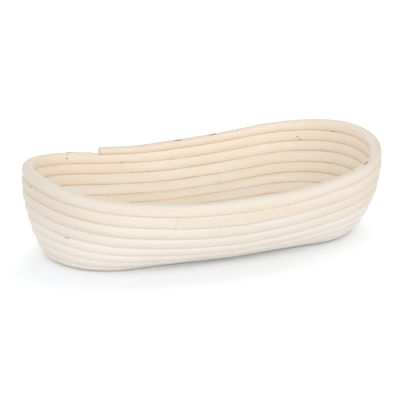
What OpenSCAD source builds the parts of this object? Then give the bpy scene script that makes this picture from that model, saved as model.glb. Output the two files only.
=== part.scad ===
// Oval proofing basket, wound as one spiral from butt-jointed lengths of peeled cane.
// Every turn lies on the turn before it and is held to it by wire staples.
// Millimetres, +Z up. The origin is on the ground, under the middle of the base.

/* [Cane] */
// Distance between the middles of neighbouring turns
turn_pitch = 8; // [7.4:0.1:9]
// Clear gap between neighbouring turns
turn_gap = 0.55; // [0.5:0.05:0.8]
// Thickness of the cane through the wall
cane_thick = 7.4; // [6:0.1:8.5]
// Share of the thickness that is worn flat under the base
flat_share = 0.1; // [0.06:0.01:0.14]
// Gap at the butt joint of two lengths
splice_gap = 0.4; // [0.2:0.1:1]

/* [Winding] */
// Half the length of the straight core that the base is wound on
core_half = 69.5; // [55:0.5:110]
// Whole turns wound round the core
turns = 12; // [11:1:13]
// Part of a turn from the +X end to the cut end on the rim
end_part = 0.32; // [0.2:0.02:0.34]
// Height of the cane at its cut end on the rim
tip_high = 4.5; // [3.5:0.1:7]
// Part of a turn over which the rim tapers to its cut end
taper_part = 0.26; // [0.1:0.02:0.3]
// How soon the taper sets in: 1 is straight, more is later
taper_power = 1.5; // [1:0.1:2]
// Room left inside the first tight bend, where the cane is shaved
bend_room = 1; // [0.6:0.1:1.6]

/* [Long sides] */
// Flat half-width of the base
side_flat = 36; // [28:0.5:42]
// Radius of the turn from base to side
side_bilge_r = 20; // [14:1:32]
// Slope at which the bilge meets the side wall
side_bilge_a = 8; // [6:1:30]
// Radius of the side wall above the bilge
side_wall_r = 39; // [37:1:60]

/* [Ends] */
// Flat length of the base beyond the core
end_flat = 34.5; // [28:0.5:40]
// Radius of the turn from base to end
end_bilge_r = 8; // [7:0.5:16]
// Slope at which the bilge meets the end wall
end_bilge_a = 61.5; // [55:0.5:72]
// Radius of the end wall above the bilge
end_wall_r = 94.5; // [80:0.5:160]
// How late the sheer rises from the sides to the ends
sheer_power = 1.5; // [1.2:0.05:2]

/* [Staples] */
// Diameter of the staple wire
wire_d = 0.8; // [0.6:0.1:1]
// Distance between the legs
crown_w = 5; // [4:0.5:7]
// How far the crown stands proud of the cane
crown_proud = 0.3; // [0.2:0.05:0.35]
// How deep the legs reach into the turn below
leg_bite = 3.3; // [2.5:0.1:4]
// Clearance of the wire in its hole
wire_clear = 0.05; // [0.02:0.01:0.1]

/* [Hidden] */
// Stations round one turn: a quarter of an end, then a long side
quarter = 6;
side = 8;
loop = 4*quarter + 2*side;
// Sides of the cane's section
sides = 8;
// First station, at the far end of the core, and the last, at the cut end on the rim
first = -quarter - side;
last = loop*(turns + end_part);

cane_high = turn_pitch - turn_gap;
cane_mid = cane_thick*(0.5 - flat_share);

// Stations at which one length of cane ends and the next begins, in turns before the rim's end
core_joint = last - loop*11.125;
inner_joint = last - loop*9.125;
outer_joint = last - loop*7.225;
bilge_joint = last - loop*5.575;
lower_joint = last - loop*4.125;
middle_joint = last - loop*2.81;
upper_joint = last - loop*1.64;
joints = [core_joint, inner_joint, outer_joint, bilge_joint, lower_joint, middle_joint, upper_joint];

function mix(a, b, share) = a + (b - a)*share;
function unit(v) = v/norm(v);
function arc(angle) = angle*PI/180;

// The loop round the core: the direction away from the core, and the core point it leaves from
function place(j) = j - loop*floor(j/loop);
function away(j) = let(k = place(j))
    k < quarter ? 90*k/quarter :
    k < quarter + side ? 90 :
    k < 3*quarter + side ? 90 + 90*(k - quarter - side)/quarter :
    k < 3*quarter + 2*side ? 270 :
    270 + 90*(k - 3*quarter - 2*side)/quarter;
function core_x(j) = let(k = place(j))
    k < quarter ? core_half :
    k < quarter + side ? core_half*(1 - 2*(k - quarter)/side) :
    k < 3*quarter + side ? -core_half :
    k < 3*quarter + 2*side ? core_half*(2*(k - 3*quarter - side)/side - 1) :
    core_half;

// Distance wound out from the core, measured along the base and up the wall
function wound(j) = turn_pitch*(0.5 + j/loop);

// Base and wall in section: reach, height and slope at a distance s from the core
function section(s, flat, bilge_r, bilge_a, wall_r) =
    let(t = s - flat, bilge = bilge_r*arc(bilge_a))
    t < 0 ? [s, 0, 0] :
    t < bilge ?
        let(a = t/arc(bilge_r))
        [flat + bilge_r*sin(a), bilge_r*(1 - cos(a)), a] :
        let(a = bilge_a + (t - bilge)/arc(wall_r))
        [
            flat + bilge_r*sin(bilge_a) + wall_r*(sin(a) - sin(bilge_a)),
            bilge_r*(1 - cos(bilge_a)) + wall_r*(cos(bilge_a) - cos(a)),
            a
        ];
end_reach = section(wound(last), end_flat, end_bilge_r, end_bilge_a, end_wall_r)[0];

// 0 in the middle of a long side, 1 at an end
function endness(j) =
    pow((abs(core_x(j)) + end_reach*abs(cos(away(j))))/(core_half + end_reach), sheer_power);
function wall(j) = let(e = endness(j)) section(
    wound(j),
    mix(side_flat, end_flat, e),
    mix(side_bilge_r, end_bilge_r, e),
    mix(side_bilge_a, end_bilge_a, e),
    1/mix(1/side_wall_r, 1/end_wall_r, e)
);

// Middle of the cane at a station, and its three directions: along, out of the wall, up the wall
function middle(j) = let(w = wall(j), h = away(j))
    [core_x(j) + w[0]*cos(h), w[0]*sin(h), cane_mid + w[1]];
function along(j) = unit(middle(j + 0.5) - middle(j - 0.5));
function climb(j) = let(a = wall(j)[2], h = away(j)) [cos(a)*cos(h), cos(a)*sin(h), sin(a)];
function outward(j) = unit(cross(along(j), climb(j)));
function upward(j) = cross(outward(j), along(j));

// The inside of the first bend is shaved so that the cane can turn round the core's end
function inner_half(j) = abs(j) <= quarter ? min(cane_high/2, wound(j) - bend_room) : cane_high/2;

// The top of the rim is shaved down towards the cut end
function top_half(j) =
    let(share = pow(max(0, min(1, (last - j)/(loop*taper_part))), taper_power))
    mix(tip_high - cane_high/2, cane_high/2, share);

// Where the wall bends, a turn is squeezed to the plane half-way to its neighbour, one loop on or back:
// the half-height left at the cane's middle, and how fast it grows outwards
function room(j, step) =
    let(bend = (wall(j + step)[2] - wall(j)[2])/2*sign(step), apart = norm(middle(j + step) - middle(j)))
    [apart/2/cos(bend) - turn_gap/2, tan(bend)];

// One ring of the cane's skin, with its flat sides towards the neighbouring turns
function ring(j) =
    let(m = middle(j), n = outward(j), u = upward(j), above = room(j, loop), below = room(j, -loop))
    [
        for (i = [0:sides - 1])
            let(
                a = 360*(i + 0.5)/sides,
                out = cane_thick/2*sin(a)/cos(180/sides),
                half = cos(a) > 0 ?
                    min(top_half(j), above[0] + above[1]*out) :
                    min(inner_half(j), below[0] + below[1]*out),
                p = m + u*half*cos(a)/cos(180/sides) + n*out
            )
            [p.x, p.y, max(p.z, 0)]
    ];

// Least gap between a turn and the next, measured between the points of facing rings
least_gap = min([
    for (j = [first:last - loop])
        let(near = ring(j), far = ring(j + loop))
        min([for (a = near, b = far) norm(a - b)])
]);
echo(least_gap_between_turns = least_gap);

// A length of cane from one station to another, cut square at both ends
module cane(from, to) {
    start = from + splice_gap/2/norm(middle(from + 1) - middle(from));
    end = to - splice_gap/2/norm(middle(to) - middle(to - 1));
    stops = [start, for (j = [floor(from) + 1:ceil(to) - 1]) j, end];
    rings = [for (j = stops) ring(j)];
    count = len(stops);
    skin = [
        for (r = [0:count - 2], i = [0:sides - 1])
            let(a = r*sides + i, b = r*sides + (i + 1) % sides)
            each [[a, a + sides, b], [b, a + sides, b + sides]]
    ];
    far = (count - 1)*sides;
    caps = [for (i = [1:sides - 2]) each [[0, i, i + 1], [far, far + i + 1, far + i]]];
    polyhedron([for (r = rings) each r], concat(skin, caps));
}

// Stations of the staples: in the turns below the rim on the long sides, and on the ends where the
// wall is steep, away from the joints; on the rim at places given in parts of a turn before the cut end
staple_steps = [8, 17, 28, 37];
stagger = 3;
steep = loop*6.5;
rim_parts = [0.964, 0.78, 0.585, 0.428, 0.124, 0.085];
joint_room = 0.5;
function on_side(j) = abs(sin(away(j))) > 0.99;
function off_joints(j) = min([for (k = joints) min(abs(j - k), abs(j - loop - k))]) > joint_room;
all_stations = [
    for (t = [0:turns - 1], s = staple_steps)
        let(j = t*loop + s + stagger*(t % 2))
        if (j < last - loop && off_joints(j) && (on_side(j) || j > steep)) j,
    for (part = rim_parts) last - loop*part
];
function staple_stations(from, to) = [for (j = all_stations) if (j > from && j < to) j];

// A staple, or with a clearance the hole for it, astride the cane at a station
module staple(j, clear = 0) {
    t = along(j);
    n = outward(j);
    u = upward(j);
    m = middle(j);
    r = wire_d/2 + clear;
    crown_z = top_half(j) + crown_proud - wire_d/2;
    tip_z = -cane_high/2 - turn_gap - leg_bite - clear;
    multmatrix([
        [t.x, n.x, u.x, m.x],
        [t.y, n.y, u.y, m.y],
        [t.z, n.z, u.z, m.z],
        [0, 0, 0, 1]
    ]) {
        translate([-crown_w/2, 0, crown_z]) rotate([0, 90, 0]) cylinder(h = crown_w, r = r, $fn = 24);
        for (x = [-1, 1]*crown_w/2) {
            translate([x, 0, crown_z]) sphere(r = r, $fn = 24);
            translate([x, 0, tip_z]) cylinder(h = crown_z - tip_z, r = r, $fn = 24);
        }
    }
}

// A length of cane with the holes of the staples that pass through it or end in it
module stapled_cane(from, to) color([0.96, 0.91, 0.82]) difference() {
    cane(from, to);
    for (j = all_stations)
        if ((j > from && j < to) || (j - loop > from && j - loop < to)) staple(j, wire_clear);
}
module staples(from, to) color([0.5, 0.48, 0.45])
    for (j = staple_stations(from, to)) staple(j);

module core_cane() stapled_cane(first, core_joint);
module inner_base_cane() stapled_cane(core_joint, inner_joint);
module outer_base_cane() stapled_cane(inner_joint, outer_joint);
module bilge_cane() stapled_cane(outer_joint, bilge_joint);
module lower_wall_cane() stapled_cane(bilge_joint, lower_joint);
module middle_wall_cane() stapled_cane(lower_joint, middle_joint);
module upper_wall_cane() stapled_cane(middle_joint, upper_joint);
module rim_cane() stapled_cane(upper_joint, last);

module core_staples() staples(first, core_joint);
module inner_base_staples() staples(core_joint, inner_joint);
module outer_base_staples() staples(inner_joint, outer_joint);
module bilge_staples() staples(outer_joint, bilge_joint);
module lower_wall_staples() staples(bilge_joint, lower_joint);
module middle_wall_staples() staples(lower_joint, middle_joint);
module upper_wall_staples() staples(middle_joint, upper_joint);
module rim_staples() staples(upper_joint, last);

core_cane();
inner_base_cane();
outer_base_cane();
bilge_cane();
lower_wall_cane();
middle_wall_cane();
upper_wall_cane();
rim_cane();
core_staples();
inner_base_staples();
outer_base_staples();
bilge_staples();
lower_wall_staples();
middle_wall_staples();
upper_wall_staples();
rim_staples();
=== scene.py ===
# %% [markdown]
# # An oval proofing basket of wound cane
#
# Bakers let dough rise in a basket like this one. It is a single spiral of peeled cane: eight lengths,
# joined end to end, are wound round a straight core, and wire staples hold each turn to the turn before.
# The construction is already there as solids. This lesson gives every cane its true round form, its
# fibres, its cut ends and its uneven, hand-wound look, and then lights the basket on a white table.

# %% Load the frame
import math

import bmesh
import bpy
from mathutils import Matrix, Vector, noise


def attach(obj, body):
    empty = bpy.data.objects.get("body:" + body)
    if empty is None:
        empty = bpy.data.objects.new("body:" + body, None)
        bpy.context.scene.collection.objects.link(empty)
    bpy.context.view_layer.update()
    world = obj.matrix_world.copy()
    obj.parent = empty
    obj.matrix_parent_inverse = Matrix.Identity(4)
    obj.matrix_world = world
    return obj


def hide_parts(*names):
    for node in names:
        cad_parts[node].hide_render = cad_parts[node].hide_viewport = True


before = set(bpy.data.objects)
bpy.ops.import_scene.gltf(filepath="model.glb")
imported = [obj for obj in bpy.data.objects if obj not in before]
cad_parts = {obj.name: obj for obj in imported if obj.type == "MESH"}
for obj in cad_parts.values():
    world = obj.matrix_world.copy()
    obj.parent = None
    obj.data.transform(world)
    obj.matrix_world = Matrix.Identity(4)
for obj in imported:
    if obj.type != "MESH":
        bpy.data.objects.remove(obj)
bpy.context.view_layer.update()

# %% [markdown]
# ## The camera
#
# The camera comes first, because every later choice is judged through it. It stands to the left of the
# middle, a little above the rim, far away behind a long lens. It could be turned by hand until the rim
# fits; here its place is worked out from a direction, a distance and the point that it looks at.

# %% Camera
image_pixels = 400
sensor_width = 36
focal_pixels = 1829
pixels_per_metre = 1472
view_azimuth = math.radians(-22.46)
view_elevation = math.radians(17.76)
looked_at = Vector((-0.0092, -0.0174, 0.034))


def make_camera():
    back = Vector((
        math.sin(view_azimuth) * math.cos(view_elevation),
        -math.cos(view_azimuth) * math.cos(view_elevation),
        math.sin(view_elevation),
    ))
    lens = bpy.data.cameras.new("camera")
    lens.sensor_width = sensor_width
    lens.lens = focal_pixels * sensor_width / image_pixels
    camera = bpy.data.objects.new("camera", lens)
    camera.location = looked_at + back * (focal_pixels / pixels_per_metre)
    camera.rotation_euler = (-back).to_track_quat("-Z", "Y").to_euler()
    bpy.context.scene.collection.objects.link(camera)
    bpy.context.scene.camera = camera
    return camera


camera = make_camera()
print("camera at", [round(v, 3) for v in camera.location], "lens", round(camera.data.lens, 1), "mm")

# %% [markdown]
# ## The path of the winding
#
# One path runs from the core to the rim. A loop has forty stations: a quarter of an end, a long side, two
# quarters of the other end, the other side and the last quarter. Every loop lies one pitch further out,
# measured flat along the base and then up the wall. The wall's profile is steep at the ends and slanted
# on the sides, and a mix of the two gives the boat-like rise of the rim.

# %% Measures of the winding, in metres
turn_pitch = 0.008
cane_thick = 0.0074
flat_share = 0.1
core_half = 0.0695
turns = 12
end_part = 0.32
bend_room = 0.001
side_flat, end_flat = 0.036, 0.0345
side_bilge_r, end_bilge_r = 0.020, 0.008
side_bilge_a, end_bilge_a = math.radians(8), math.radians(61.5)
side_wall_r, end_wall_r = 0.039, 0.0945
sheer_power = 1.5

quarter = 6
side = 8
loop = 4 * quarter + 2 * side
first = -quarter - side
last = loop * (turns + end_part)
cane_mid = cane_thick * (0.5 - flat_share)
print("stations in a loop:", loop, "and in all:", round(last - first, 1))


# %% Round the core
def mix(a, b, share):
    return a + (b - a) * share


def away(j):
    """Direction away from the core at a station."""
    k = j % loop
    right_angle = math.pi / 2
    if k < quarter:
        return right_angle * k / quarter
    if k < quarter + side:
        return right_angle
    if k < 3 * quarter + side:
        return right_angle * (1 + (k - quarter - side) / quarter)
    if k < 3 * quarter + 2 * side:
        return 3 * right_angle
    return right_angle * (3 + (k - 3 * quarter - 2 * side) / quarter)


def core_x(j):
    """The point of the core that a station leaves from."""
    k = j % loop
    if k < quarter:
        return core_half
    if k < quarter + side:
        return core_half * (1 - 2 * (k - quarter) / side)
    if k < 3 * quarter + side:
        return -core_half
    if k < 3 * quarter + 2 * side:
        return core_half * (2 * (k - 3 * quarter - side) / side - 1)
    return core_half


def wound(j):
    """Distance wound from the core, along base and wall."""
    return turn_pitch * (0.5 + j / loop)


# %% Up the wall
def profile(s, flat, bilge_r, bilge_a, wall_r):
    """Reach, height and slope of the base and wall at a distance s from the core."""
    t = s - flat
    bilge = bilge_r * bilge_a
    if t < 0:
        return s, 0.0, 0.0
    if t < bilge:
        a = t / bilge_r
        return flat + bilge_r * math.sin(a), bilge_r * (1 - math.cos(a)), a
    a = bilge_a + (t - bilge) / wall_r
    reach = flat + bilge_r * math.sin(bilge_a) + wall_r * (math.sin(a) - math.sin(bilge_a))
    height = bilge_r * (1 - math.cos(bilge_a)) + wall_r * (math.cos(bilge_a) - math.cos(a))
    return reach, height, a


end_reach = profile(wound(last), end_flat, end_bilge_r, end_bilge_a, end_wall_r)[0]


def wall(j):
    """Reach, height and slope at a station, mixed from the sides' and the ends' profiles."""
    share = (abs(core_x(j)) + end_reach * abs(math.cos(away(j)))) / (core_half + end_reach)
    e = share ** sheer_power
    return profile(
        wound(j),
        mix(side_flat, end_flat, e),
        mix(side_bilge_r, end_bilge_r, e),
        mix(side_bilge_a, end_bilge_a, e),
        1 / mix(1 / side_wall_r, 1 / end_wall_r, e),
    )


# %% The middle line of the cane
def middle(j):
    reach, height, slope = wall(j)
    h = away(j)
    return Vector((core_x(j) + reach * math.cos(h), reach * math.sin(h), cane_mid + height))


def directions(j):
    """Along the cane, out of the wall and up the wall."""
    along = (middle(j + 0.5) - middle(j - 0.5)).normalized()
    slope = wall(j)[2]
    h = away(j)
    climb = Vector((math.cos(slope) * math.cos(h), math.cos(slope) * math.sin(h), math.sin(slope)))
    outward = along.cross(climb).normalized()
    return along, outward, outward.cross(along)


rim_end = middle(last)
print("loops:", turns, "cut end of the rim at", [round(v, 4) for v in rim_end])

# %% [markdown]
# ## Uneven cane
#
# Cane is a plant stem, so no two lengths are equally thick, and a length swells and thins slowly. If each
# turn were simply scaled, it would cut into its neighbours. Instead the seam between two turns is moved
# towards the thinner one, so that the turns still nestle. A turn also wanders a little in and out of the
# wall, and the whole basket leans along its length, as hand work does. Smooth noise of the station gives
# the same basket on every run.

# %% Lengths and their girth
joints_before_end = {
    "core": 11.125,
    "inner_base": 9.125,
    "outer_base": 7.225,
    "bilge": 5.575,
    "lower_wall": 4.125,
    "middle_wall": 2.81,
    "upper_wall": 1.64,
    "rim": 0.0,
}
length_ends = {name: last - loop * part for name, part in joints_before_end.items()}
length_girth = {
    "core": 0.0,
    "inner_base": 0.00015,
    "outer_base": -0.0001,
    "bilge": 0.0002,
    "lower_wall": -0.0002,
    "middle_wall": 0.00025,
    "upper_wall": -0.00015,
    "rim": 0.0001,
}
girth_drift = 0.00035
girth_rate = 2.7
girth_seed = 4.3


def slow(j, rate, seed):
    """Smooth noise from -1 to 1 along the spiral."""
    return noise.noise(Vector((j / loop * rate, seed, 0.5 * seed)))


def smooth_step(low, high, value):
    t = min(1.0, max(0.0, (value - low) / (high - low)))
    return t * t * (3 - 2 * t)


def length_at(j):
    for name, end in length_ends.items():
        if j <= end:
            return name
    return "rim"


def girth(j):
    """How much thicker than the pitch the cane is at a station."""
    begun = smooth_step(0, loop, j)
    return begun * (length_girth[length_at(j)] + girth_drift * slow(j, girth_rate, girth_seed))


def seam_shift(j):
    """How far the seam above a station moves up."""
    return (girth(j) - girth(j + loop)) / 2


print("lengths end at stations", [round(end, 1) for end in length_ends.values()])

# %% Wander and lean
wander_depth = 0.00025
wander_rate = 3.3
wander_seed = 9.1
wander_from, wander_to = loop * 4, loop * 6
basket_lean = 0.037
lean_height = 0.033


def wander(j):
    """How far a turn stands out of the wall."""
    return wander_depth * slow(j, wander_rate, wander_seed) * smooth_step(wander_from, wander_to, j)


def leaned(point):
    """A point moved along the basket by its height."""
    return point + Vector((basket_lean * (point.z - lean_height), 0, 0))


print("lean:", round(math.degrees(math.atan(basket_lean)), 1), "degrees")

# %% [markdown]
# ## The section of the cane
#
# Peeled cane is round, but it is bent wet and pulled tight, so it flattens where it touches its
# neighbours. A superellipse gives the round part with one number: 2 is an ellipse, and a larger value is
# squarer. A press then widens the flat between two turns, less in the bends than on the long sides. The
# rim's top is free and stays round. Its last quarter turn tapers, and the cut end has sunk into the turn
# below.

# %% Measures of the section
nip_gap = 0.00003
nip_from = 0.72
outside_fullness = 2.25
inside_fullness = 2.05
rim_fullness = 2.4
outside_press = 1.28
end_press = 1.14
inside_press = 1.26
rim_half = 0.0038
rim_tip_half = 0.0008
rim_taper = 0.26
rim_taper_power = 1.5
tip_sink = 0.0018
seat_depth = 0.0012
settle_from, settle_to = last - 3.2, last - 1.2
free_from, free_to = last - loop + 0.2, last - loop + 0.6
# Stations of the rim that swell, and how far the top rises there
rim_swells = {461.6: 0.0005, 470.2: 0.0008}
swell_reach = 2.5
# Station of the bend on the left where the rim is wider inside, and by what share
wide_bend = 459.5
wide_share = 0.2
print("rim end", round((rim_tip_half + turn_pitch / 2 + seat_depth - tip_sink) * 1000, 2), "mm high")


# %% Heights of the section
def room(j, step):
    """Half-height up to the plane between two turns, and how fast it grows outwards."""
    bend = (wall(j + step)[2] - wall(j)[2]) / 2 * math.copysign(1, step)
    apart = (middle(j + step) - middle(j)).length
    return apart / 2 / math.cos(bend) - nip_gap / 2, math.tan(bend)


def rim_top(j):
    """Half-height of the free top of the rim."""
    share = min(1.0, max(0.0, (last - j) / loop / rim_taper))
    swell = sum(high * smooth_step(swell_reach, 0, abs(j - at)) for at, high in rim_swells.items())
    return mix(rim_tip_half, rim_half, share ** rim_taper_power) + swell


def settled(j):
    """Share by which the end of the rim has sunk into the turn below."""
    return smooth_step(settle_from, settle_to, j)


def upper_half(j, out):
    above, growth = room(j, loop)
    under_next = above + growth * out + seam_shift(j) - seat_depth * settled(j + loop)
    freed = smooth_step(free_from, free_to, j)
    return mix(under_next, rim_top(j), freed)


def lower_half(j, out):
    below, growth = room(j, -loop)
    if abs(j) <= quarter:
        below = min(below, wound(j) - bend_room)
    return below + growth * out - seam_shift(j - loop) + (seat_depth - tip_sink) * settled(j)


# %% One point of the skin
def fullness_at(j, is_top, is_outside):
    """The superellipse's number for one side of the cane."""
    if is_top and j > last - loop:
        return rim_fullness
    return outside_fullness if is_outside else inside_fullness


def press_at(j, is_outside):
    """How wide the flat is where two turns touch: the bends at the ends are pressed less."""
    if is_outside:
        return mix(outside_press, end_press, abs(math.cos(away(j))))
    return inside_press


def signed_power(value, power):
    return math.copysign(abs(value) ** power, value)


def ring_point(j, angle):
    """Place out of and up the wall of one point of the skin, and how deep it lies in a groove."""
    c, s = math.cos(angle), math.sin(angle)
    power = 2 / fullness_at(j, c > 0, s > 0)
    out = cane_thick / 2 * signed_power(s, power)
    if s < 0:
        out *= 1 + wide_share * smooth_step(swell_reach, 0, abs(j - wide_bend))
    free = c > 0 and j > last - loop
    reach = abs(c) ** power
    if not free:
        reach = min(1.0, reach * press_at(j, s > 0))
    if c > 0:
        up = upper_half(j, out) * reach
    else:
        up = -lower_half(j, out) * reach
    nip = 0.0 if free else smooth_step(nip_from, 1.0, reach)
    return out, up, nip


widest = ring_point(last - loop / 2, math.pi / 2)
print("the near rim reaches", round(widest[0] * 1000, 2), "mm out of its middle line")

# %% [markdown]
# ## Winding a length
#
# A curve with a bevel could make a tube, but its section would be the same all the way. Here a circle is
# extruded again and again, and each new ring is moved to its station, as a potter draws out a coil. Every
# point also stores its place on the straight cane before it was bent. The fibres of the material follow
# that, so they run round every bend.

# %% Place a ring
ring_sides = 24
cut_slant = 0.3
cut_reach = 0.0020
cut_from = last - 1
inner_edge = 0.002
# painted light: the outside is painted paler and cooler from these turns down to the foot
foot_light_bottom = loop * 7.0
foot_light_top = loop * 10.2


def foot_light_at(j):
    """Share of painted light outside: most on the base and foot, least on the rim."""
    return smooth_step(foot_light_top, foot_light_bottom, j)


def place_ring(verts, layers, j, travelled, shrink=1.0):
    along, outward, upward = directions(j)
    centre = middle(j) + outward * wander(j) - upward * (tip_sink * settled(j))
    for vert in verts:
        angle = 2 * math.pi * (vert[layers["number"]] + 0.5) / ring_sides
        out, up, nip = ring_point(j, angle)
        slide = (cut_reach - out * cut_slant) * smooth_step(cut_from, last, j)
        point = leaned(centre + outward * (out * shrink) + upward * (up * shrink) + along * slide)
        vert.co = (point.x, point.y, max(point.z, 0.0))
        vert[layers["straight"]] = (travelled, out, up)
        vert[layers["nip"]] = nip
        inner = smooth_step(inner_edge, -inner_edge, out)
        vert[layers["inner"]] = inner
        # painted light on the outside, strongest towards the foot
        vert[layers["foot_light"]] = foot_light_at(j) * (1 - inner)


# %% Wind one length of cane
rings_per_station = 6
splice_gap = 0.00002
cut_chamfer = 0.00012
cut_shrink = 1 - cut_chamfer / (turn_pitch / 2)
straight_room = 7.0


def stations(start, end):
    """Stations of the rings of a length, evenly spaced."""
    step = 1 / rings_per_station
    count = round((end - start) / step)
    return [mix(start, end, i / count) for i in range(count + 1)]


def draw_out(bm, edges):
    """Extrude the open edge of the skin and return the new ring."""
    made = bmesh.ops.extrude_edge_only(bm, edges=edges)["geom"]
    verts = [g for g in made if isinstance(g, bmesh.types.BMVert)]
    fresh = set(verts)
    edges = [g for g in made if isinstance(g, bmesh.types.BMEdge) and fresh.issuperset(g.verts)]
    return verts, edges


def wind_cane(name, start, end, number):
    """A length of cane from one station to another, with its cut ends."""
    bm = bmesh.new()
    layers = {
        "number": bm.verts.layers.int.new("number"),
        "straight": bm.verts.layers.float_vector.new("straight"),
        "nip": bm.verts.layers.float.new("nip"),
        "inner": bm.verts.layers.float.new("inner"),
        "foot_light": bm.verts.layers.float.new("foot_light"),
    }
    verts = bmesh.ops.create_circle(bm, cap_ends=True, segments=ring_sides, radius=turn_pitch / 2)["verts"]
    for place, vert in enumerate(verts):
        vert[layers["number"]] = place
    start_cap = bm.faces[:]
    edges = bm.edges[:]
    metre_per_station = (middle(start + 0.5) - middle(start - 0.5)).length
    start += splice_gap / 2 / metre_per_station
    end -= splice_gap / 2 / metre_per_station
    chamfer = cut_chamfer / metre_per_station
    straight_start = number * straight_room
    travelled = straight_start
    place_ring(verts, layers, start, travelled, cut_shrink)
    last_middle = middle(start)
    for j in stations(start + chamfer, end - chamfer):
        verts, edges = draw_out(bm, edges)
        travelled += (middle(j) - last_middle).length
        last_middle = middle(j)
        place_ring(verts, layers, j, travelled)
    verts, edges = draw_out(bm, edges)
    place_ring(verts, layers, end, travelled + cut_chamfer, cut_shrink)
    end_cap = bmesh.ops.edgeloop_fill(bm, edges=edges)["faces"]
    for face in bm.faces:
        face.smooth = True
    for face in start_cap + end_cap:
        face.smooth = False
        face.material_index = 1
        for edge in face.edges:
            edge.smooth = False
    bmesh.ops.recalc_face_normals(bm, faces=bm.faces)
    mesh = bpy.data.meshes.new(name)
    bm.to_mesh(mesh)
    bm.free()
    piece = bpy.data.objects.new(name, mesh)
    bpy.context.scene.collection.objects.link(piece)
    print(name, "wound:", len(mesh.polygons), "faces,", round(travelled - straight_start, 3), "m long")
    return piece


# %% Wind the eight lengths
canes = {}
length_start = first
for number, (length_name, length_end) in enumerate(length_ends.items()):
    canes[length_name] = wind_cane(length_name + "_length", length_start, length_end, number)
    length_start = length_end

# %% [markdown]
# ## The cane's finish
#
# Peeled cane is pale, dry and silky. Long fibres run along it, with riper patches like honey and a few
# brown flecks where bark was left, and the tone drifts from length to length. The pattern is built on the
# stored straight places: stretched noise makes the fibres, and the same noise raises a slight relief.
# Outside, painted shade makes the cane a little darker and greyer than the inside, and painted light makes
# it paler and cooler on the base and foot. The grooves carry painted shade, tan in patches and most of all
# inside.


# %% Helpers for materials
def new_material(name):
    material = bpy.data.materials.new(name)
    material.use_nodes = True
    tree = material.node_tree
    shader = tree.nodes["Principled BSDF"]
    return material, tree, shader


def add_node(tree, kind, **settings):
    """A new node of one kind, with its settings."""
    node = tree.nodes.new(kind)
    for key, value in settings.items():
        setattr(node, key, value)
    return node


def feed(tree, node, socket, source):
    """Link an output to a socket, or set the socket's value."""
    target = node.inputs[socket]
    if isinstance(source, bpy.types.NodeSocket):
        tree.links.new(source, target)
    else:
        target.default_value = source


# %% Helpers for patterns
def stretched_noise(tree, place, stretch, detail, roughness):
    mapping = add_node(tree, "ShaderNodeMapping")
    feed(tree, mapping, "Vector", place)
    feed(tree, mapping, "Scale", stretch)
    texture = add_node(tree, "ShaderNodeTexNoise")
    feed(tree, texture, "Vector", mapping.outputs["Vector"])
    feed(tree, texture, "Scale", 1.0)
    feed(tree, texture, "Detail", detail)
    feed(tree, texture, "Roughness", roughness)
    return texture.outputs["Fac"]


def mapped(tree, value, low, high, new_low, new_high):
    """A value moved from one range to another, and held there."""
    node = add_node(tree, "ShaderNodeMapRange")
    feed(tree, node, "Value", value)
    feed(tree, node, "From Min", low)
    feed(tree, node, "From Max", high)
    feed(tree, node, "To Min", new_low)
    feed(tree, node, "To Max", new_high)
    return node.outputs["Result"]


def blended(tree, share, under, over, blend_type="MIX"):
    node = add_node(tree, "ShaderNodeMix", data_type="RGBA", blend_type=blend_type)
    feed(tree, node, "Factor", share)
    colours = [s for s in node.inputs if s.type == "RGBA"]
    for target, source in zip(colours, (under, over)):
        if isinstance(source, bpy.types.NodeSocket):
            tree.links.new(source, target)
        else:
            target.default_value = source
    return [s for s in node.outputs if s.type == "RGBA"][0]


def multiplied(tree, first_share, second_share):
    node = add_node(tree, "ShaderNodeMath", operation="MULTIPLY")
    feed(tree, node, 0, first_share)
    feed(tree, node, 1, second_share)
    return node.outputs[0]


def attribute(tree, name):
    return add_node(tree, "ShaderNodeAttribute", attribute_type="GEOMETRY", attribute_name=name)


# %% Colours and grain of the cane
cane_pale = (0.98, 0.895, 0.795, 1)
cane_cream = (0.96, 0.855, 0.72, 1)
cane_honey = (0.94, 0.79, 0.60, 1)
fibre_shade = (0.90, 0.765, 0.59, 1)
fleck_brown = (0.42, 0.28, 0.16, 1)
# painted shade in the grooves: this tan darkens them in patches, most of all inside
groove_shade_tan = (0.81, 0.63, 0.44, 1)
# painted shade: the outside is multiplied by this grey, so it reads darker and greyer than the inside
outside_shade_grey = (0.928, 0.922, 0.915, 1)
# painted light: the pale, cool colour painted on the outside towards the foot
foot_light_pale = (0.98, 0.905, 0.82, 1)
foot_light_share = 0.8
groove_shade_share = 0.85
outside_groove_shade_share = 0.25
tone_grain = (14, 60, 60)
ripe_grain = (9, 130, 130)
fibre_grain = (35, 1900, 1900)
fleck_grain = (160, 900, 900)
patch_grain = (30, 30, 30)
fibre_relief = 0.00012


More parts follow.
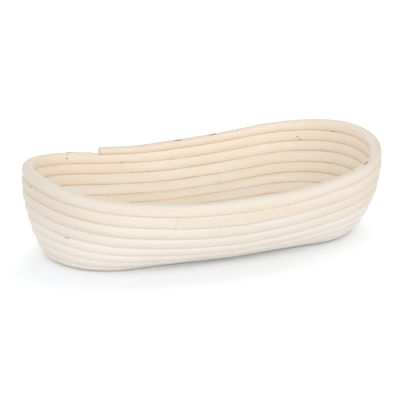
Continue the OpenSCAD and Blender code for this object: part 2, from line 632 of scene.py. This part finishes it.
# %% Peeled cane
def make_cane():
    material, tree, shader = new_material("peeled_cane")
    straight = attribute(tree, "straight").outputs["Vector"]
    nip = attribute(tree, "nip").outputs["Fac"]
    inner = attribute(tree, "inner").outputs["Fac"]
    foot_light = attribute(tree, "foot_light").outputs["Fac"]
    tone = stretched_noise(tree, straight, tone_grain, 2, 0.5)
    ripe = stretched_noise(tree, straight, ripe_grain, 2, 0.5)
    fibres = stretched_noise(tree, straight, fibre_grain, 4, 0.6)
    flecks = stretched_noise(tree, straight, fleck_grain, 1, 0.4)
    colour = blended(tree, mapped(tree, tone, 0.35, 0.65, 0, 1), cane_pale, cane_cream)
    colour = blended(tree, mapped(tree, ripe, 0.55, 0.75, 0, 0.6), colour, cane_honey)
    colour = blended(tree, mapped(tree, fibres, 0.5, 0.8, 0, 0.5), colour, fibre_shade)
    colour = blended(tree, mapped(tree, flecks, 0.79, 0.83, 0, 0.6), colour, fleck_brown)
    # painted shade: the outside a little darker and greyer than the inside
    colour = blended(tree, mapped(tree, inner, 0, 1, 1, 0), colour, outside_shade_grey, "MULTIPLY")
    # painted light: the outside paler and cooler towards the foot
    colour = blended(tree, mapped(tree, foot_light, 0, 1, 0, foot_light_share), colour, foot_light_pale)
    # painted shade in the grooves, tan in patches, weaker outside
    patches = stretched_noise(tree, straight, patch_grain, 2, 0.6)
    groove_shade = mapped(tree, patches, 0.40, 0.65, 0, groove_shade_share)
    groove_shade = multiplied(tree, mapped(tree, nip, 0.3, 1, 0, 1), groove_shade)
    groove_shade = multiplied(tree, groove_shade, mapped(tree, inner, 0, 1, outside_groove_shade_share, 1))
    colour = blended(tree, groove_shade, colour, groove_shade_tan)
    feed(tree, shader, "Base Color", colour)
    feed(tree, shader, "Roughness", mapped(tree, fibres, 0.3, 0.7, 0.5, 0.66))
    shader.inputs["Specular IOR Level"].default_value = 0.35
    bump = add_node(tree, "ShaderNodeBump")
    feed(tree, bump, "Strength", 0.35)
    feed(tree, bump, "Distance", fibre_relief)
    feed(tree, bump, "Height", fibres)
    feed(tree, shader, "Normal", bump.outputs["Normal"])
    return material


peeled_cane = make_cane()
print("peeled cane:", len(peeled_cane.node_tree.nodes), "nodes")

# %% [markdown]
# ## The cut ends
#
# A cut cane shows hundreds of tubes that carried water. They are far too small to model, so cells of a
# Voronoi pattern on the end's own plane draw them as dark pores in a slightly darker ground.

# %% Cut cane
cut_ground = (0.78, 0.64, 0.48, 1)
cut_pore = (0.45, 0.32, 0.20, 1)
pores_per_metre = 2200.0
pore_relief = 0.0002


def make_cut():
    material, tree, shader = new_material("cut_cane")
    straight = attribute(tree, "straight").outputs["Vector"]
    cells = add_node(tree, "ShaderNodeTexVoronoi")
    feed(tree, cells, "Vector", straight)
    feed(tree, cells, "Scale", pores_per_metre)
    pores = mapped(tree, cells.outputs["Distance"], 0.2, 0.35, 0.9, 0)
    feed(tree, shader, "Base Color", blended(tree, pores, cut_ground, cut_pore))
    feed(tree, shader, "Roughness", 0.8)
    bump = add_node(tree, "ShaderNodeBump", invert=True)
    feed(tree, bump, "Strength", 0.5)
    feed(tree, bump, "Distance", pore_relief)
    feed(tree, bump, "Height", pores)
    feed(tree, shader, "Normal", bump.outputs["Normal"])
    return material


cut_cane = make_cut()
for piece in canes.values():
    piece.data.materials.append(peeled_cane)
    piece.data.materials.append(cut_cane)
print("cut ends:", 2 * len(canes))

# %% [markdown]
# ## The staples
#
# Each staple is a bent steel wire, pressed over the cane. The solids already have the wire's shape, so
# they stay and only get a finish: dull steel with brown oxide where damp dough has been.

# %% Staple wire
steel_dull = (0.30, 0.285, 0.27, 1)
steel_oxide = (0.17, 0.11, 0.07, 1)
rust_grain = (900, 900, 900)


def make_wire():
    material, tree, shader = new_material("staple_steel")
    place = add_node(tree, "ShaderNodeTexCoord").outputs["Object"]
    rust = stretched_noise(tree, place, rust_grain, 3, 0.6)
    rusted = mapped(tree, rust, 0.45, 0.6, 0, 1)
    feed(tree, shader, "Base Color", blended(tree, rusted, steel_dull, steel_oxide))
    feed(tree, shader, "Roughness", mapped(tree, rust, 0.4, 0.6, 0.35, 0.7))
    shader.inputs["Metallic"].default_value = 0.8
    return material


staple_steel = make_wire()
staple_nodes = [solid for name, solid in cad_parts.items() if name.endswith("_staples")]
for solid in staple_nodes:
    solid.data.materials.clear()
    solid.data.materials.append(staple_steel)
print("nodes of staples:", len(staple_nodes))

# %% [markdown]
# ## Points and pressed wires
#
# In the photo a few points of wire show on the inside of the turns, and a few wires lie pressed into a
# groove. Each one is a drop of steel, half sunk in the cane: nearly round for a point, drawn out along
# the cane for a wire. A drop is placed by its station and its angle round the cane, from the top.

# %% Wire points
# Station, angle in degrees, half-length along the cane and radius across it
wire_points = {
    "left rim": (454.54, -87, 0.0006, 0.00055),
    "left rim, top": (454.5, -48, 0.0004, 0.0003),
    "far turn": (444.16, -102, 0.0006, 0.00045),
    "far turn, low": (444.06, -126, 0.0006, 0.00032),
    "far groove": (442.31, -42, 0.0022, 0.00018),
    "left groove": (420.25, 48, 0.0010, 0.00028),
    "inner groove": (451.95, -138, 0.0013, 0.00016),
    "foot groove": (302.85, 48, 0.0023, 0.00022),
}


def sink_drop(bm, j, degrees, half_long, radius):
    """A drop of steel, drawn out along the cane, half sunk in its skin."""
    along, outward, upward = directions(j)
    out, up, nip = ring_point(j, math.radians(degrees))
    place = leaned(middle(j) + outward * (out + wander(j)) + upward * up)
    form = Matrix((along * half_long, outward * radius, upward * radius)).transposed().to_4x4()
    bmesh.ops.create_icosphere(bm, subdivisions=3, radius=1, matrix=Matrix.Translation(place) @ form)


bm = bmesh.new()
for spot in wire_points.values():
    sink_drop(bm, *spot)
for face in bm.faces:
    face.smooth = True
points_mesh = bpy.data.meshes.new("wire_points")
bm.to_mesh(points_mesh)
bm.free()
points_mesh.materials.append(staple_steel)
points = bpy.data.objects.new("wire_points", points_mesh)
bpy.context.scene.collection.objects.link(points)
print("wire points:", len(wire_points))

# %% [markdown]
# ## Table and light
#
# The basket stands on a white table in a white studio. The light is broad and soft: the walls in front and
# behind glow most, the ceiling and the ends less, and one large lamp adds a little from the front left. So
# shade collects only in the grooves and under the foot. More light would clip the pale cane. Instead rays
# from the eye meet a whiter room and table than the light does, and the table whitens away from the foot:
# in an oval round the foot it is seen less white and a little cooler, a painted shadow.

# %% Floor
floor_half = 3.0
shade_shift = (0.0095, 0.026, 0)
shade_oval = (0.46, 1, 0)
shade_reach = 0.050
clear_reach = 0.083
# painted shadow: the table is seen less white in an oval round the foot
painted_shadow_table = (1.09, 1.135, 1.19, 1)
table_far = (1.46, 1.475, 1.495, 1)
table_lit = (0.90, 0.93, 0.97, 1)


def seen_rays(tree):
    """1 for rays that show a surface to the eye, straight or through a gloss."""
    rays = add_node(tree, "ShaderNodeLightPath")
    share = rays.outputs["Is Camera Ray"]
    for kind in ("Is Glossy Ray", "Is Transmission Ray"):
        either = add_node(tree, "ShaderNodeMath", operation="MAXIMUM")
        feed(tree, either, 0, share)
        feed(tree, either, 1, rays.outputs[kind])
        share = either.outputs[0]
    return share


def make_floor():
    material, tree, shader = new_material("white_table")
    tree.nodes.remove(shader)
    place = add_node(tree, "ShaderNodeTexCoord").outputs["Object"]
    oval = add_node(tree, "ShaderNodeMapping")
    feed(tree, oval, "Vector", place)
    feed(tree, oval, "Location", shade_shift)
    feed(tree, oval, "Scale", shade_oval)
    reach = add_node(tree, "ShaderNodeVectorMath", operation="LENGTH")
    feed(tree, reach, 0, oval.outputs["Vector"])
    # painted shadow: the seen colour is darker inside the oval round the foot
    clear = mapped(tree, reach.outputs["Value"], shade_reach, clear_reach, 0, 1)
    seen = add_node(tree, "ShaderNodeBsdfDiffuse")
    feed(tree, seen, "Color", blended(tree, clear, painted_shadow_table, table_far))
    lit = add_node(tree, "ShaderNodeBsdfDiffuse")
    feed(tree, lit, "Color", table_lit)
    both = add_node(tree, "ShaderNodeMixShader")
    feed(tree, both, 0, seen_rays(tree))
    tree.links.new(lit.outputs[0], both.inputs[1])
    tree.links.new(seen.outputs[0], both.inputs[2])
    tree.links.new(both.outputs[0], tree.nodes["Material Output"].inputs["Surface"])
    bm = bmesh.new()
    bmesh.ops.create_grid(bm, x_segments=1, y_segments=1, size=floor_half)
    mesh = bpy.data.meshes.new("table")
    bm.to_mesh(mesh)
    bm.free()
    mesh.materials.append(material)
    floor = bpy.data.objects.new("table", mesh)
    bpy.context.scene.collection.objects.link(floor)
    return floor


floor = make_floor()
print("table:", 2 * floor_half, "m wide")


# %% World and lamps
ceiling_glow = 0.315
wall_glow = {("Y", -1): 1.13, ("Y", 1): 0.91, ("X", -1): 0.10, ("X", 1): 0.05}
key_place = (-0.5, -1.2, 0.45)
key_aim = (0, 0, 0.03)
key_size = 0.7
key_watts = 2.0


def make_world():
    world = bpy.data.worlds.new("studio")
    world.use_nodes = True
    tree = world.node_tree
    tree.nodes.clear()
    heading = add_node(tree, "ShaderNodeSeparateXYZ")
    feed(tree, heading, 0, add_node(tree, "ShaderNodeTexCoord").outputs["Generated"])
    strength = ceiling_glow
    for (axis, way), glow in wall_glow.items():
        added = add_node(tree, "ShaderNodeMath", operation="ADD")
        feed(tree, added, 0, strength)
        feed(tree, added, 1, mapped(tree, heading.outputs[axis], 0, way, 0, glow))
        strength = added.outputs[0]
    sky = add_node(tree, "ShaderNodeBackground")
    feed(tree, sky, "Color", (1, 1, 1, 1))
    feed(tree, sky, "Strength", strength)
    white = add_node(tree, "ShaderNodeBackground")
    feed(tree, white, "Color", (1, 1, 1, 1))
    feed(tree, white, "Strength", 1.0)
    both = add_node(tree, "ShaderNodeMixShader")
    feed(tree, both, 0, seen_rays(tree))
    tree.links.new(sky.outputs[0], both.inputs[1])
    tree.links.new(white.outputs[0], both.inputs[2])
    out = add_node(tree, "ShaderNodeOutputWorld")
    tree.links.new(both.outputs[0], out.inputs["Surface"])
    bpy.context.scene.world = world


def soft_lamp(name, place, aim, size, watts):
    lamp = bpy.data.lights.new(name, "AREA")
    lamp.shape = "DISK"
    lamp.size = size
    lamp.energy = watts
    holder = bpy.data.objects.new(name, lamp)
    holder.location = place
    holder.rotation_euler = (Vector(aim) - Vector(place)).to_track_quat("-Z", "Y").to_euler()
    bpy.context.scene.collection.objects.link(holder)
    return holder


make_world()
soft_lamp("key", key_place, key_aim, key_size, key_watts)
bpy.context.scene.view_settings.view_transform = "Standard"
print("walls that glow:", len(wall_glow), "and lamps: 1")

# %% [markdown]
# ## Replace the solids
#
# Every length takes the place of the plain solid of the same cane and moves with the basket.

# %% Ride and replace
for length_name, piece in canes.items():
    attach(piece, "root")
    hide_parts(length_name + "_cane")
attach(points, "root")
